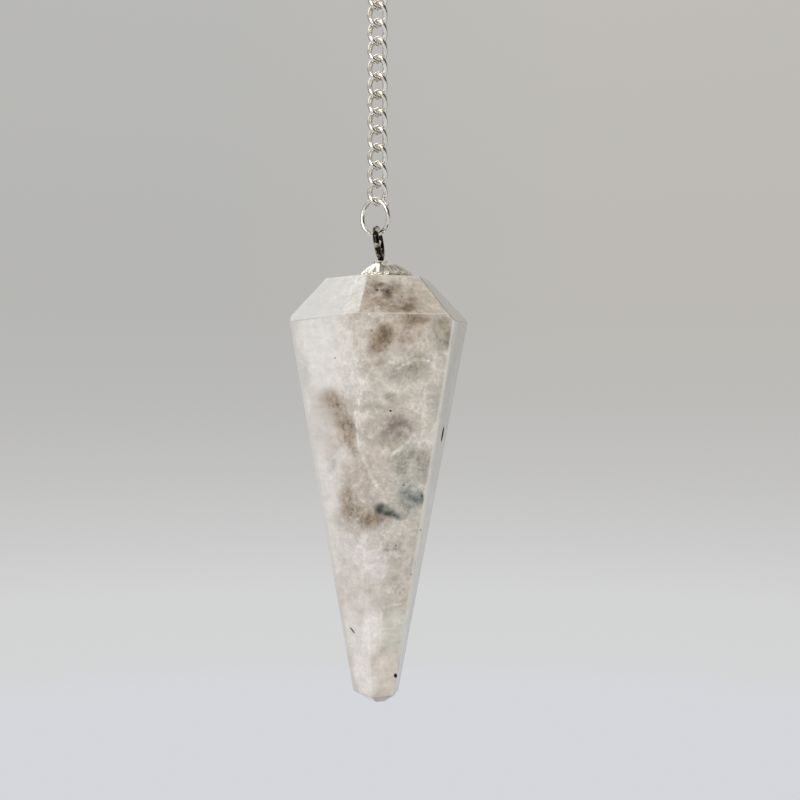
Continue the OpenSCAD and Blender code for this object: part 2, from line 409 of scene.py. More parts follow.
stone_planes = crown_planes + body_planes + tip_planes + end_planes


def stone_corners():
    """The points where three planes meet and that no other plane cuts off."""
    nearly_parallel = 1e-6
    slack = 1e-4
    corners = []
    for three in combinations(stone_planes, 3):
        rows = Matrix([plane[0] for plane in three])
        if abs(rows.determinant()) < nearly_parallel:
            continue
        point = rows.inverted() @ Vector([plane[1] for plane in three])
        if all(out.dot(point) <= far + slack for out, far in stone_planes):
            corners.append(point)
    return corners


def cut_blank():
    """The stone as cut and polished, before it is drilled."""
    work = bmesh.new()
    for corner in stone_corners():
        work.verts.new(corner)
    bmesh.ops.remove_doubles(work, verts=work.verts, dist=CORNER_SPREAD)
    hull = bmesh.ops.convex_hull(work, input=work.verts)
    spare = [v for v in hull["geom_interior"] if isinstance(v, bmesh.types.BMVert)]
    bmesh.ops.delete(work, geom=spare, context="VERTS")
    bmesh.ops.dissolve_limit(
        work, angle_limit=math.radians(SAME_FACET_ANGLE), verts=work.verts, edges=work.edges,
    )
    bmesh.ops.bevel(
        work, geom=list(work.edges), offset=STONE_EDGE, offset_type="OFFSET", segments=3,
        profile=0.5, affect="EDGES", clamp_overlap=False,
    )
    mesh = bpy.data.meshes.new("stone_blank")
    work.to_mesh(mesh)
    work.free()
    return add_object("stone_blank", mesh)


def make_drill():
    """A bar as wide as the peg's bore, from the bore's bottom to above the stone."""
    sides = 48
    above = 1.0
    verts = []
    for z in (stone_top - PEG_DEPTH - PEG_GAP, stone_top + above):
        verts += level_circle(peg_x, bore_r, z, sides)
    mesh = bpy.data.meshes.new("drill")
    mesh.from_pydata(verts, [], bands(2, sides) + end_faces(2, sides))
    return add_object("drill", mesh)


def set_facet_normals(mesh):
    """Facets shade flat, and only the narrow rounded edges between them turn."""
    smallest = SMALLEST_FACET * MM * MM
    as_shaped = Vector((0, 0, 0))
    facet_of = {}
    for face in mesh.polygons:
        if face.area < smallest:
            continue
        plane = max(stone_planes, key=lambda plane: plane[0].dot(face.normal))
        for v in face.vertices:
            facet_of[v] = plane[0]
    normals = []
    for face in mesh.polygons:
        in_bore = face.normal.z == 0 and face.area < smallest
        for v in face.vertices:
            normals.append(as_shaped if in_bore else facet_of.get(v, as_shaped))
    mesh.normals_split_custom_set(normals)


def make_stone():
    blank = cut_blank()
    drill = make_drill()
    cut = blank.modifiers.new("bore", "BOOLEAN")
    cut.operation = "DIFFERENCE"
    cut.solver = "EXACT"
    cut.object = drill
    bpy.context.view_layer.update()
    seen = blank.evaluated_get(bpy.context.evaluated_depsgraph_get())
    drilled = bpy.data.meshes.new_from_object(seen)
    verts = [v.co.copy() for v in drilled.vertices]
    faces = [tuple(p.vertices) for p in drilled.polygons]
    for extra in (blank, drill):
        bpy.data.objects.remove(extra)
    stone = piece("moonstone", verts, faces, "drop", "moonstone", "stone")
    set_facet_normals(stone.data)
    return stone


end_ring = make_end_ring()
links = [make_link(index) for index in range(1, LINK_COUNT + 1)]
jump_ring = make_jump_ring()
eye = make_eye()
cap = make_cap()
stone = make_stone()


# Materials
def linear(r, g, b):
    """A colour written as it looks on screen, from 0 to 255, as the shader needs it."""
    parts = []
    for value in (r, g, b):
        value /= 255
        parts.append(value / 12.92 if value <= 0.04045 else ((value + 0.055) / 1.055) ** 2.4)
    return (*parts, 1.0)


class Graph:
    """Short names for the nodes of one material."""

    def __init__(self, name):
        self.material = bpy.data.materials.new(name)
        self.material.use_nodes = True
        self.tree = self.material.node_tree
        self.tree.nodes.clear()
        self.output = self.tree.nodes.new("ShaderNodeOutputMaterial")

    def add(self, kind, inputs, out=0, **settings):
        new = self.tree.nodes.new(kind)
        for key, value in settings.items():
            setattr(new, key, value)
        for key, value in inputs.items():
            if isinstance(value, bpy.types.NodeSocket):
                self.tree.links.new(value, new.inputs[key])
            else:
                new.inputs[key].default_value = value
        return new.outputs[out]

    def place(self):
        """The point of the piece, in millimetres."""
        point = self.add("ShaderNodeTexCoord", {}, out="Object")
        return self.add("ShaderNodeMapping", {"Vector": point, "Scale": (1 / MM,) * 3})

    def axis(self, point, index):
        return self.add("ShaderNodeSeparateXYZ", {0: point}, out=index)

    def depth(self, point, plane):
        """How far a point lies under a plane."""
        out, far = plane
        return self.math("SUBTRACT", far, self.vector("DOT_PRODUCT", point, out, out="Value"))

    def vector(self, operation, a, b=None, scale=None, out=0):
        inputs = {0: a}
        if b is not None:
            inputs[1] = b
        if scale is not None:
            inputs["Scale"] = scale
        return self.add("ShaderNodeVectorMath", inputs, out=out, operation=operation)

    def math(self, operation, a, b=0.0):
        return self.add("ShaderNodeMath", {0: a, 1: b}, operation=operation)

    def mix(self, factor, a, b, blend="MIX"):
        inputs = {0: factor, 6: a, 7: b}
        return self.add("ShaderNodeMix", inputs, out=2, data_type="RGBA", blend_type=blend)

    def channel(self, colour, index):
        return self.add("ShaderNodeSeparateColor", {0: colour}, out=index)

    def grey(self, value):
        return self.add("ShaderNodeCombineColor", {0: value, 1: value, 2: value})

    def noise(self, point, scale, detail=2.0, roughness=0.5, out=0):
        inputs = {"Vector": point, "Scale": scale, "Detail": detail, "Roughness": roughness}
        return self.add("ShaderNodeTexNoise", inputs, out=out)

    def cells(self, point, scale, out, feature="F1"):
        inputs = {"Vector": point, "Scale": scale}
        return self.add("ShaderNodeTexVoronoi", inputs, out=out, feature=feature)

    def remap(self, value, low, high, to_low=0.0, to_high=1.0, smooth=True):
        inputs = {
            "Value": value, "From Min": low, "From Max": high, "To Min": to_low, "To Max": to_high,
        }
        kind = "SMOOTHSTEP" if smooth else "LINEAR"
        return self.add("ShaderNodeMapRange", inputs, interpolation_type=kind)

    def bump(self, height, distance):
        inputs = {"Height": height, "Distance": distance * MM, "Strength": 1.0}
        return self.add("ShaderNodeBump", inputs, out="Normal")

    def surface(self, **inputs):
        named = {key.replace("_", " "): value for key, value in inputs.items()}
        shader = self.add("ShaderNodeBsdfPrincipled", named)
        self.tree.links.new(shader, self.output.inputs["Surface"])
        return self.material

    def glow(self, colour):
        shader = self.add("ShaderNodeEmission", {"Color": colour, "Strength": 1.0})
        self.tree.links.new(shader, self.output.inputs["Surface"])
        return self.material


def metal(name, light, dark, tarnish, roughness, pits, patch=0.9, low=0.35, high=0.7):
    """Polished wire: its tone and polish vary a little, with fine scratches along and across."""
    g = Graph(name)
    point = g.place()
    cloud = g.noise(point, patch, 3.0)
    tone = g.mix(g.remap(cloud, low, high), light, dark)
    stain = g.remap(g.noise(point, 2.6, 4.0, 0.65), 0.58, 0.75)
    tone = g.mix(g.math("MULTIPLY", stain, 0.5), tone, tarnish)
    smear = g.noise(point, 3.5, 4.0, 0.6)
    rough = g.remap(smear, 0.3, 0.75, roughness * 0.7, roughness * 1.6)
    stretched = g.add("ShaderNodeMapping", {"Vector": point, "Scale": (14.0, 14.0, 2.5)})
    height = g.math("ADD", g.noise(stretched, 1.0, 2.0), g.noise(point, 1.6, 1.0))
    return g.surface(
        Base_Color=tone,
        Metallic=1.0,
        Roughness=rough,
        Normal=g.bump(height, pits),
    )


silver = metal(
    "silver",
    light=linear(247, 244, 238),
    dark=linear(232, 225, 211),
    tarnish=linear(178, 161, 132),
    roughness=0.12,
    pits=0.014,
)
steel = metal(
    "steel",
    light=linear(230, 224, 210),
    dark=linear(44, 37, 30),
    tarnish=linear(96, 72, 40),
    roughness=0.05,
    pits=0.03,
    patch=1.2,
    low=0.4,
    high=0.5,
)
bright = metal(
    "bright_metal",
    light=linear(246, 243, 232),
    dark=linear(228, 221, 202),
    tarnish=linear(150, 138, 108),
    roughness=0.18,
    pits=0.024,
)


def seen_point(x, y):
    """Where the line of sight through a place in the picture meets the stone, and a pixel's size."""
    sight = Vector(((x - MIDDLE) / FOCAL, 1.0, (MIDDLE - y) / FOCAL))
    edge_on = -1e-3
    reach = 0.0
    for out, far in stone_planes:
        facing = out.dot(sight)
        if facing < edge_on:
            reach = max(reach, (far - out.dot(EYE_POINT)) / facing)
    return EYE_POINT + sight * reach, reach / FOCAL


# What the clear skin adds to each tone of the stone, how much of the light the stone gives back,
# and its darkest and lightest base colour
SKIN_SHINE = 0.045
STONE_LIGHT = 0.86
DARKEST = 0.004
LIGHTEST = 0.9


def stone_tone(r, g, b):
    """Base colour of the stone that looks like a screen colour in this light."""
    parts = [(value - SKIN_SHINE) / STONE_LIGHT for value in linear(r, g, b)[:3]]
    return (*[min(max(value, DARKEST), LIGHTEST) for value in parts], 1.0)


# Cloudy patches inside the stone: middle, half width and half height as seen in the picture, in
# pixels, turn clockwise in degrees, colour on screen, strength and softness
PATCHES = [
    # Left side, whiter
    (318, 350, 34, 60, -8, (219, 217, 213), 0.9, 0.7),
    (332, 372, 26, 34, -10, (221, 216, 211), 0.7, 0.8),
    (304, 372, 7, 22, -8, (188, 187, 181), 0.8, 0.9),
    (322, 480, 13, 90, -9, (212, 208, 203), 0.8, 0.7),
    (316, 430, 9, 26, -10, (202, 197, 192), 0.7, 0.8),
    (319, 400, 9, 14, -20, (198, 188, 182), 0.7, 0.9),
    (306, 404, 4, 14, -10, (218, 215, 210), 0.7, 0.8),
    (333, 508, 9, 26, -9, (219, 214, 209), 0.8, 0.7),
    (344, 352, 14, 40, 4, (213, 206, 199), 0.7, 0.8),
    # Crown in front, beige grey
    (408, 296, 50, 22, 0, (182, 172, 160), 0.95, 0.22),
    (381, 290, 19, 17, 0, (150, 136, 119), 0.9, 0.8),
    (370, 300, 11, 14, 12, (158, 144, 128), 0.9, 0.8),
    (388, 292, 6, 8, -20, (104, 90, 72), 0.9, 0.8),
    (376, 288, 3, 6, 10, (100, 86, 68), 0.9, 0.8),
    (385, 279, 8, 4, 0, (190, 181, 170), 0.95, 0.4),
    (402, 290, 11, 7, 0, (148, 136, 123), 0.8, 0.8),
    (412, 280, 12, 5, 12, (188, 180, 169), 0.7, 0.7),
    (411, 299, 7, 3, -6, (152, 141, 128), 0.8, 0.7),
    (430, 290, 14, 9, 30, (190, 183, 171), 0.7, 0.7),
    (392, 305, 30, 10, -4, (156, 142, 127), 0.85, 0.8),
    (432, 304, 13, 8, 20, (192, 184, 171), 0.8, 0.7),
    (408, 309, 9, 6, -10, (120, 105, 87), 0.95, 0.6),
    (374, 308, 8, 6, 0, (176, 163, 148), 0.7, 0.8),
    # Top of the body in front
    (408, 334, 46, 22, -4, (188, 175, 161), 0.9, 0.4),
    (364, 334, 13, 26, 6, (205, 196, 186), 0.85, 0.6),
    (384, 321, 14, 5, -6, (176, 162, 148), 0.7, 0.7),
    (380, 339, 12, 17, 24, (156, 141, 125), 0.9, 0.8),
    (384, 337, 9, 13, 18, (132, 117, 98), 0.95, 0.8),
    (376, 348, 8, 6, -10, (142, 127, 111), 0.8, 0.8),
    (372, 352, 6, 4, 0, (152, 138, 123), 0.7, 0.9),
    (391, 331, 5, 4, 20, (146, 130, 113), 0.7, 0.8),
    (401, 338, 14, 7, -10, (178, 163, 149), 0.8, 0.8),
    (414, 320, 18, 7, -6, (142, 126, 108), 0.9, 0.8),
    (410, 327, 10, 3, -24, (158, 143, 127), 0.7, 0.8),
    (442, 332, 13, 18, 0, (154, 146, 131), 0.95, 0.5),
    (436, 324, 4, 9, 20, (140, 129, 113), 0.8, 0.7),
    (447, 342, 9, 10, -20, (132, 124, 108), 0.95, 0.7),
    (440, 345, 5, 5, 0, (150, 142, 127), 0.7, 0.8),
    (428, 336, 7, 7, -20, (204, 195, 183), 0.8, 0.7),
    (426, 347, 13, 8, -20, (205, 196, 185), 0.85, 0.6),
    (402, 357, 20, 11, -24, (194, 186, 174), 0.85, 0.5),
    (408, 350, 8, 4, -20, (170, 161, 149), 0.7, 0.8),
    (376, 360, 14, 7, -10, (194, 182, 169), 0.7, 0.7),
    (380, 362, 8, 4, -20, (164, 151, 137), 0.75, 0.8),
    (361, 371, 6, 3, 10, (168, 156, 143), 0.6, 0.8),
    (420, 360, 12, 11, -30, (172, 164, 152), 0.85, 0.8),
    (400, 375, 18, 10, -8, (168, 160, 148), 0.85, 0.8),
    (414, 368, 9, 7, -20, (160, 152, 141), 0.7, 0.9),
    (433, 384, 11, 16, 0, (186, 180, 168), 0.8, 0.7),
    (441, 358, 6, 18, 6, (184, 178, 166), 0.7, 0.7),
    (360, 386, 11, 15, 10, (210, 203, 196), 0.85, 0.7),
    (378, 378, 7, 10, 10, (194, 187, 175), 0.7, 0.7),
    (386, 394, 15, 10, 10, (211, 204, 192), 0.9, 0.7),
    (390, 398, 8, 6, 20, (164, 155, 143), 0.9, 0.8),
    (408, 394, 8, 12, 20, (190, 182, 170), 0.7, 0.7),
    # Brown patch on the left
    (336, 405, 20, 16, 24, (186, 173, 160), 0.9, 0.8),
    (330, 398, 13, 10, 20, (162, 147, 132), 0.85, 0.8),
    (343, 417, 17, 14, 40, (170, 157, 143), 0.9, 0.8),
    (344, 434, 13, 16, 30, (178, 165, 151), 0.85, 0.8),
    (354, 412, 6, 10, -30, (192, 185, 174), 0.6, 0.8),
    (347, 424, 12, 6, 10, (146, 131, 113), 0.95, 0.8),
    (351, 438, 7, 14, -8, (154, 140, 123), 0.85, 0.9),
    (354, 450, 5, 8, -8, (160, 147, 131), 0.8, 0.9),
    (337, 405, 4, 5, 20, (134, 120, 104), 0.7, 0.9),
    (333, 466, 5, 9, 20, (168, 168, 162), 0.8, 0.9),
    # Grey oval
    (364, 425, 9, 14, 14, (210, 203, 193), 0.9, 0.7),
    (360, 444, 5, 12, -10, (205, 196, 186), 0.8, 0.7),
    (387, 432, 29, 19, -8, (176, 166, 155), 0.95, 0.35),
    (396, 428, 16, 12, -6, (140, 129, 119), 0.95, 0.8),
    (385, 440, 14, 9, 10, (166, 156, 145), 0.7, 0.9),
    (373, 430, 9, 9, 0, (198, 188, 177), 0.8, 0.9),
    (424, 420, 14, 26, 10, (192, 183, 171), 0.8, 0.6),
    (436, 408, 7, 26, 8, (178, 174, 163), 0.85, 0.8),
    # Middle
    (380, 464, 18, 28, -24, (198, 188, 177), 0.9, 0.6),
    (369, 461, 12, 12, 0, (184, 172, 162), 0.75, 0.8),
    (412, 466, 24, 24, -20, (167, 163, 151), 0.95, 0.6),
    (414, 453, 7, 5, 0, (152, 149, 137), 0.8, 0.9),
    (400, 464, 9, 8, -20, (154, 148, 137), 0.8, 0.9),
    (425, 474, 7, 14, 0, (164, 160, 148), 0.8, 0.8),
    (406, 484, 19, 13, -10, (181, 178, 166), 0.85, 0.8),
    (385, 488, 9, 14, -30, (194, 184, 172), 0.9, 0.7),
    (357, 484, 16, 28, 4, (188, 176, 165), 0.95, 0.5),
    (362, 480, 9, 12, 0, (176, 165, 154), 0.7, 0.9),
    (347, 497, 6, 16, 4, (156, 142, 126), 0.85, 0.9),
    (361, 503, 8, 8, 0, (192, 182, 170), 0.7, 0.8),
    (356, 519, 28, 16, -4, (171, 161, 147), 0.9, 0.8),
    (352, 512, 12, 9, 20, (150, 137, 121), 0.8, 0.9),
    (372, 520, 17, 9, -15, (141, 127, 108), 0.95, 0.8),
    (362, 530, 20, 6, -4, (172, 161, 148), 0.7, 0.9),
    (388, 504, 8, 10, -40, (188, 177, 163), 0.7, 0.8),
    (411, 500, 16, 13, 20, (156, 157, 150), 0.92, 0.6),
    (411, 494, 13, 8, 14, (133, 138, 134), 0.85, 0.8),
    (417, 499, 8, 5, 14, (106, 113, 110), 0.85, 0.8),
    (422, 498, 2, 7, 0, (84, 92, 90), 0.8, 0.8),
    (384, 510, 12, 7, 18, (66, 74, 62), 1.0, 0.5),
    (397, 516, 9, 5, 20, (106, 111, 105), 0.95, 0.7),
    (406, 512, 9, 7, 10, (158, 157, 148), 0.7, 0.8),
    (381, 506, 5, 3, -10, (82, 85, 77), 0.7, 0.8),
    # Lower part
    (350, 548, 15, 24, -6, (210, 205, 199), 0.8, 0.8),
    (370, 560, 16, 28, 2, (213, 208, 203), 0.9, 0.7),
    (374, 545, 10, 8, 0, (192, 184, 175), 0.7, 0.9),
    (396, 540, 18, 16, 0, (190, 182, 171), 0.85, 0.8),
    (418, 530, 7, 18, 8, (178, 174, 163), 0.85, 0.8),
    (386, 549, 5, 5, 10, (160, 153, 144), 0.75, 0.8),
    (396, 547, 5, 7, 10, (156, 149, 140), 0.75, 0.8),
    (408, 568, 11, 14, 0, (178, 173, 163), 0.85, 0.8),
    (410, 567, 7, 6, 0, (178, 174, 166), 0.7, 0.9),
    (396, 578, 8, 5, -30, (172, 163, 151), 0.7, 0.8),
    (350, 578, 8, 14, 0, (202, 196, 189), 0.7, 0.8),
    (362, 603, 15, 13, 10, (209, 204, 198), 0.9, 0.7),
    (392, 596, 17, 10, -6, (191, 185, 175), 0.85, 0.8),
    (403, 602, 5, 3, -30, (158, 147, 135), 0.6, 0.8),
    (395, 634, 17, 27, -6, (200, 197, 186), 0.98, 0.2),
    (371, 634, 12, 29, 2, (225, 220, 215), 0.95, 0.5),
    (353, 632, 11, 32, -8, (214, 209, 203), 0.9, 0.6),
    (387, 674, 16, 23, -4, (212, 203, 193), 0.98, 0.3),
    (363, 673, 12, 26, -8, (220, 214, 210), 0.95, 0.5),
    (373, 684, 4, 14, -2, (226, 221, 213), 0.7, 0.8),
]

# White veils, as lines through places in the picture, half width in pixels and strength
VEILS = [
    ([(361, 388), (357, 408), (356, 430), (360, 451)], 1.8, 0.8),
    ([(360, 451), (370, 474), (384, 498)], 2.2, 0.5),
    ([(357, 417), (378, 411)], 2.0, 0.6),
    ([(414, 434), (402, 447), (389, 457)], 2.2, 0.6),
    ([(426, 384), (422, 420)], 2.0, 0.6),
    ([(388, 364), (406, 351), (424, 336)], 2.8, 0.7),
    ([(392, 369), (416, 360)], 2.2, 0.6),
    ([(356, 372), (362, 386), (373, 368)], 1.6, 0.55),
    ([(379, 608), (382, 630), (379, 655)], 1.2, 0.7),
    ([(380, 607), (410, 602)], 1.0, 0.5),
]

# Dark needles and dots: middle, half width and half height in pixels, turn clockwise, strength
SPECKS = [
    (390.5, 410.8, 1.4, 1.2, 0, 1.0),
    (352.4, 630.3, 4.2, 1.0, 50, 0.9),
    (395.5, 675.6, 1.9, 2.6, -10, 1.0),
    (371.5, 330.7, 1.0, 0.9, 0, 0.8),
    (335.0, 358.0, 0.9, 0.9, 0, 0.8),
    (421.8, 496.0, 1.2, 1.5, 0, 0.8),
    (402.0, 296.5, 1.0, 0.9, 0, 0.6),
    (394.0, 515.0, 1.2, 1.2, 0, 0.9),
    (377.0, 290.0, 1.6, 1.3, 0, 0.9),
    (387.5, 292.0, 1.1, 2.6, -20, 0.8),
    (337.5, 404.5, 1.2, 1.4, 0, 0.6),
    (403.5, 485.0, 1.2, 1.4, 0, 0.6),
    (421.0, 530.0, 1.3, 1.2, 0, 0.6),
    (396.0, 545.5, 1.0, 1.6, 0, 0.5),
    (411.0, 574.5, 1.4, 0.8, 0, 0.5),
]

# Areas with fine flecks: middle, half width and half height in pixels, turn, colour and strength
FLECKS = [
    (380, 288, 15, 11, 0, (84, 71, 55), 0.75),
    (390, 302, 24, 9, -4, (120, 106, 90), 0.55),
    (412, 315, 18, 7, -6, (116, 101, 84), 0.6),
    (382, 338, 12, 15, 24, (98, 84, 68), 0.6),
    (398, 338, 18, 8, -10, (132, 117, 102), 0.4),
    (440, 334, 12, 15, 0, (118, 110, 95), 0.5),
    (410, 362, 24, 14, -20, (134, 126, 115), 0.45),
    (336, 404, 15, 14, 30, (118, 104, 88), 0.6),
    (347, 424, 12, 8, 10, (88, 73, 55), 0.75),
    (348, 438, 10, 15, 20, (120, 106, 90), 0.5),
    (396, 430, 20, 15, -8, (120, 110, 100), 0.35),
    (410, 464, 22, 18, -10, (124, 121, 110), 0.5),
    (350, 498, 9, 18, 0, (110, 96, 80), 0.5),
    (362, 518, 22, 11, 0, (102, 88, 72), 0.55),
    (411, 498, 14, 11, 20, (88, 94, 92), 0.5),
    (396, 552, 20, 18, 0, (150, 144, 134), 0.45),
    (398, 592, 18, 14, 0, (134, 128, 118), 0.45),
]

# Painted glints of silvery flakes: middle and half size in pixels
PAINTED_GLINTS = [
    (364, 310.5, 0.84),
    (369, 314, 0.98),
    (422, 383, 0.84),
    (428.5, 361, 1.12),
    (349, 581.5, 0.7),
    (352, 597.5, 0.84),
    (417, 576.5, 0.7),
    (363.4, 501.5, 0.98),
]
GLINT_WHITE = (0.95, 0.95, 0.93, 1.0)

# A needle that breaks the surface: middle, half width and half height in pixels, turn clockwise
NEEDLE = (442.6, 434.0, 1.8, 8.5, 9)

# Base colours that paint the see-through look and reflection of the clear right side: at its near and
# far edge, of what drifts in it, at the corner behind it and on the crown above it
PAINTED_CLEAR_NEAR = (0.67, 0.655, 0.59, 1.0)
PAINTED_CLEAR_FAR = (0.225, 0.22, 0.185, 1.0)
PAINTED_CLEAR_STREAK = (0.41, 0.405, 0.36, 1.0)
PAINTED_CLEAR_SMOKE = (0.18, 0.165, 0.135, 1.0)
PAINTED_CLEAR_CLOUD = (0.52, 0.51, 0.47, 1.0)
PAINTED_CLEAR_CORNER = (0.15, 0.15, 0.14, 1.0)
PAINTED_CLEAR_CROWN = (0.13, 0.125, 0.11, 1.0)


def blob(g, point, x, y, half_width, half_height, lean, softness, strength, thick=2.0):
    """Strength of a soft-edged oval that lies in the stone at a place in the picture."""
    middle, pixel = seen_point(x, y)
    outer = 1 + softness / 2
    wide = half_width * pixel * outer
    high = half_height * pixel * outer
    inputs = {
        "Vector": point,
        "Location": middle,
        "Rotation": (0.0, math.radians(lean), 0.0),
        "Scale": (wide, thick * max(wide, high), high),
    }
    mapped = g.add("ShaderNodeMapping", inputs, vector_type="TEXTURE")
    depth = g.add("ShaderNodeTexGradient", {"Vector": mapped}, out=1, gradient_type="SPHERICAL")
    return g.remap(depth, 0.0, 1 - (1 - softness) / outer, 0.0, strength)


def uneven(g, point):
    """Points moved about a little so that patches get uneven edges, some along crystal grains."""
    coarse = g.vector("SUBTRACT", g.noise(point, 0.5, 2.0, out=1), (0.5, 0.5, 0.5))
    fine = g.vector("SUBTRACT", g.noise(point, 1.8, 4.0, out=1), (0.5, 0.5, 0.5))
    cell = g.cells(point, 0.9, "Position")
    moved = g.vector("SCALE", point, scale=0.465)
    for shift, share in ((cell, 0.035), (coarse, 0.34), (fine, 0.12)):
        moved = g.vector("ADD", moved, g.vector("SCALE", shift, scale=share))
    return g.add("ShaderNodeMapping", {"Vector": moved, "Scale": (2.0, 2.0, 2.0)})


def milky_ground(g, bent, cloud):
    """Milky white with the blocks that the crystal grew in."""
    tone = g.mix(g.remap(cloud, 0.34, 0.66), stone_tone(190, 182, 171), stone_tone(214, 208, 202))
    shade = g.channel(g.cells(bent, 0.17, "Color"), 0)
    tone = g.mix(g.remap(shade, 0.55, 0.95, 0.0, 0.6), tone, stone_tone(182, 173, 160))
    return g.mix(g.remap(shade, 0.3, 0.0, 0.0, 0.6), tone, stone_tone(220, 215, 210))


def add_patches(g, point, bent, tone):
    """The patches that show in the picture, and the areas with fine flecks."""
    for x, y, half_width, half_height, lean, colour, strength, softness in PATCHES:
        factor = blob(g, bent, x, y, half_width, half_height, lean, softness, strength)
        tone = g.mix(factor, tone, stone_tone(*colour))
    flecked = g.remap(g.noise(point, 2.3, 4.0, 0.7), 0.48, 0.6)
    for x, y, half_width, half_height, lean, colour, strength in FLECKS:
        area = blob(g, bent, x, y, half_width, half_height, lean, 1.0, strength)
        tone = g.mix(g.math("MULTIPLY", area, flecked), tone, stone_tone(*colour))
    return tone


def add_veils(g, point, bent, tone):
    """White veils, broken up along their length."""
    veil = None
    for route, half_width, strength in VEILS:
        for (x1, y1), (x2, y2) in zip(route, route[1:]):
            half_length = math.hypot(x2 - x1, y2 - y1) / 2 + half_width
            lean = math.degrees(math.atan2(y2 - y1, x2 - x1))
            x = (x1 + x2) / 2
            y = (y1 + y2) / 2
            factor = blob(g, bent, x, y, half_length, half_width, lean, 0.9, strength)
            veil = factor if veil is None else g.math("MAXIMUM", veil, factor)
    broken = g.math("MULTIPLY", veil, g.remap(g.noise(point, 1.1, 2.0), 0.35, 0.6, 0.35, 1.0))
    return g.mix(broken, tone, stone_tone(226, 220, 212))


def add_streaks(g, bent, tone):
    """Dark places are streaked with white crystal."""
    dim = g.channel(tone, 0)
    streak = g.grey(g.remap(g.noise(bent, 1.2, 4.0, 0.7), 0.4, 0.6, 0.8, 1.22))
    return g.mix(g.remap(dim, 0.52, 0.28), tone, streak, "MULTIPLY")


def add_seams(g, point, bent, skin, tone):
    """Thin winding seams and the skins of the grains, here and there."""
    winding = g.math("ABSOLUTE", g.math("SUBTRACT", g.noise(bent, 0.3, 3.0, 0.55), 0.5))
    winding = g.remap(winding, 0.02, 0.0, 0.0, 0.3)
    seam = g.math("MAXIMUM", winding, g.remap(skin, 0.22, 0.0, 0.0, 0.28))
    seam = g.math("MULTIPLY", seam, g.remap(g.noise(point, 0.4, 2.0), 0.46, 0.62))
    return g.mix(seam, tone, stone_tone(224, 218, 210))


def add_fibres(g, slant, tone):
    """Soft slanting fibres."""
    fibre = g.grey(g.remap(g.noise(slant, 0.9, 3.0, 0.6), 0.3, 0.7, 0.96, 1.04))
    return g.mix(1.0, tone, fibre, "MULTIPLY")


def paint_left_crown_sheen(g, point, across, cloud, tone):
    """Painted sheen: the crown's left facet is painted plain white, for the bright light it mirrors at
    the left.
    """
    white = g.mix(g.remap(across, -7.5, -2.0), linear(196, 195, 193), linear(210, 206, 201))
    white = g.mix(g.remap(cloud, 0.38, 0.66, 0.0, 0.35), white, linear(186, 185, 182))
    return g.mix(g.remap(g.depth(point, crown_planes[LEFT]), 0.12, 0.04, 0.0, 0.9), tone, white)


def add_creases(g, bent, rugged, tone):
    """Creases between the crystals, in two sizes."""
    for scale, spread, dark, light in ((0.7, 0.08, 0.93, 1.09), (1.9, 0.07, 0.96, 1.06)):
        crease = g.noise(bent, scale, 4.0, 0.62)
        crease = g.math("ABSOLUTE", g.math("SUBTRACT", crease, 0.5))
        crease = g.grey(g.remap(crease, spread, 0.0, dark, light))
        tone = g.mix(rugged, tone, crease, "MULTIPLY")
    return tone


def add_mottling(g, point, rugged, tone):
    """Mottling in three sizes. The finest also goes into the polish."""
    for scale, detail, swing in ((0.5, 3.0, 0.08), (1.3, 3.0, 0.08), (3.2, 2.0, 0.06)):
        mottle = g.remap(g.noise(point, scale, detail, 0.6), 0.28, 0.72, 1 - swing, 1 + swing)
        shade = g.grey(mottle)
        factor = g.remap(rugged, 0.0, 1.0, 0.35, 1.0, smooth=False)
        tone = g.mix(factor, tone, shade, "MULTIPLY")
    return tone, mottle


def add_grains(g, point, tone):
    """Small dark grains, and bright flakes with their glints painted in."""
    grain = g.remap(g.noise(point, 4.2, 3.0, 0.7), 0.64, 0.74, 0.0, 0.4)
    tone = g.mix(grain, tone, stone_tone(140, 131, 118))
    # Painted glints: a few flakes are painted near white.
    near = g.cells(point, 0.9, "Distance")
    chance = g.channel(g.cells(point, 0.9, "Color"), 1)
    flake = g.math("MULTIPLY", g.remap(near, 0.1, 0.04, 0.0, 0.7), g.remap(chance, 0.86, 0.88))
    return g.mix(flake, tone, stone_tone(240, 237, 230))


